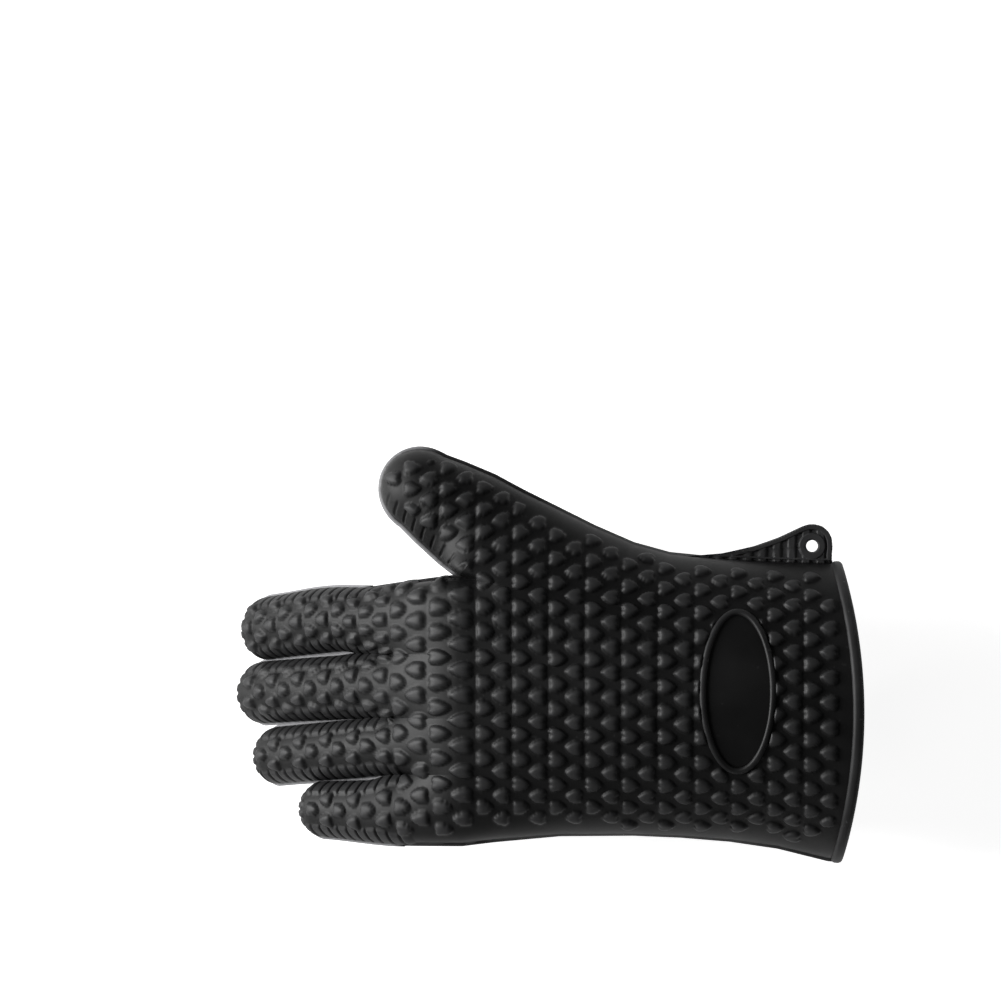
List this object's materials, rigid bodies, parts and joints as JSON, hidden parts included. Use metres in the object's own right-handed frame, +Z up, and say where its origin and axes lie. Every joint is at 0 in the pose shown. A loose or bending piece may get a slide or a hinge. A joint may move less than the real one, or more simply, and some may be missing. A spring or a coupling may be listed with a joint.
{
  "type": "heat resistant glove",
  "caption": "Five-fingered moulded silicone oven and barbecue glove for the left hand, with a long cuff, a beaded rim and a ribbed hanging tab.",
  "frame": {"origin": "on the floor, under the middle of the glove's bounding box", "axes": "+X from the fingers towards the cuff, +Y towards the thumb, +Z up, out of the back of the hand"},
  "size_m": [0.2624, 0.165, 0.0841],
  "materials": {
    "skin": "matte",
    "band": "matte",
    "trim": "satin"
  },
  "bodies": {
    "hand": {"hand_back_shell": "skin", "hand_palm_shell": "skin", "cuff_bead": "trim", "hang_tab": "trim", "back_badge_rim": "trim", "palm_badge_rim": "trim"},
    "index_lower": {"index_base": "skin", "index_root_band": "band"},
    "index_upper": {"index_tip": "skin", "index_middle_band": "band"},
    "middle_lower": {"middle_base": "skin", "middle_root_band": "band"},
    "middle_upper": {"middle_tip": "skin", "middle_middle_band": "band"},
    "ring_lower": {"ring_base": "skin", "ring_root_band": "band"},
    "ring_upper": {"ring_tip": "skin", "ring_middle_band": "band"},
    "little_lower": {"little_base": "skin", "little_root_band": "band"},
    "little_upper": {"little_tip": "skin", "little_middle_band": "band"},
    "thumb_lower": {"thumb_base": "skin", "thumb_root_band": "band"},
    "thumb_upper": {"thumb_tip": "skin", "thumb_middle_band": "band"}
  },
  "joints": [
    {"name": "index_root_bend", "type": "hinge", "parent": "hand", "child": "index_lower", "pos_m": [-0.08101, 0.01516, 0.04308], "axis": [0.0753, -0.9959, 0.0504], "range_deg": [-30, 60], "stiffness_Nm_per_rad": 1.2, "deforming": ["index_root_band"]},
    {"name": "index_middle_bend", "type": "hinge", "parent": "index_lower", "child": "index_upper", "pos_m": [-0.10245, 0.01275, 0.02753], "axis": [0.0702, -0.9959, 0.0573], "range_deg": [-10, 65], "stiffness_Nm_per_rad": 1.2, "deforming": ["index_middle_band"]},
    {"name": "middle_root_bend", "type": "hinge", "parent": "hand", "child": "middle_lower", "pos_m": [-0.08101, -0.01252, 0.04308], "axis": [0.0423, -0.9987, 0.0283], "range_deg": [-30, 60], "stiffness_Nm_per_rad": 1.2, "deforming": ["middle_root_band"]},
    {"name": "middle_middle_bend", "type": "hinge", "parent": "middle_lower", "child": "middle_upper", "pos_m": [-0.10361, -0.01395, 0.02658], "axis": [0.0392, -0.9987, 0.0325], "range_deg": [-10, 65], "stiffness_Nm_per_rad": 1.2, "deforming": ["middle_middle_band"]},
    {"name": "ring_root_bend", "type": "hinge", "parent": "hand", "child": "ring_lower", "pos_m": [-0.07725, -0.03726, 0.04557], "axis": [0.0568, -0.9977, 0.0371], "range_deg": [-30, 60], "stiffness_Nm_per_rad": 1.2, "deforming": ["ring_root_band"]},
    {"name": "ring_middle_bend", "type": "hinge", "parent": "ring_lower", "child": "ring_upper", "pos_m": [-0.09893, -0.03906, 0.03033], "axis": [0.0536, -0.9977, 0.0416], "range_deg": [-10, 65], "stiffness_Nm_per_rad": 1.2, "deforming": ["ring_middle_band"]},
    {"name": "little_root_bend", "type": "hinge", "parent": "hand", "child": "little_lower", "pos_m": [-0.06668, -0.06112, 0.05224], "axis": [0.012, -0.9999, 0.0072], "range_deg": [-30, 60], "stiffness_Nm_per_rad": 1.2, "deforming": ["little_root_band"]},
    {"name": "little_middle_bend", "type": "hinge", "parent": "little_lower", "child": "little_upper", "pos_m": [-0.08308, -0.0614, 0.04169], "axis": [0.0116, -0.9999, 0.0079], "range_deg": [-10, 65], "stiffness_Nm_per_rad": 1.2, "deforming": ["little_middle_band"]},
    {"name": "thumb_root_bend", "type": "hinge", "parent": "hand", "child": "thumb_lower", "pos_m": [-0.02973, 0.05461, 0.06033], "axis": [-0.5343, -0.8415, 0.08], "range_deg": [-15, 40], "stiffness_Nm_per_rad": 1.2, "deforming": ["thumb_root_band"]},
    {"name": "thumb_middle_bend", "type": "hinge", "parent": "thumb_lower", "child": "thumb_upper", "pos_m": [-0.04583, 0.06475, 0.05943], "axis": [-0.5343, -0.8415, 0.08], "range_deg": [-10, 40], "stiffness_Nm_per_rad": 1.2, "deforming": ["thumb_middle_band"]}
  ]
}
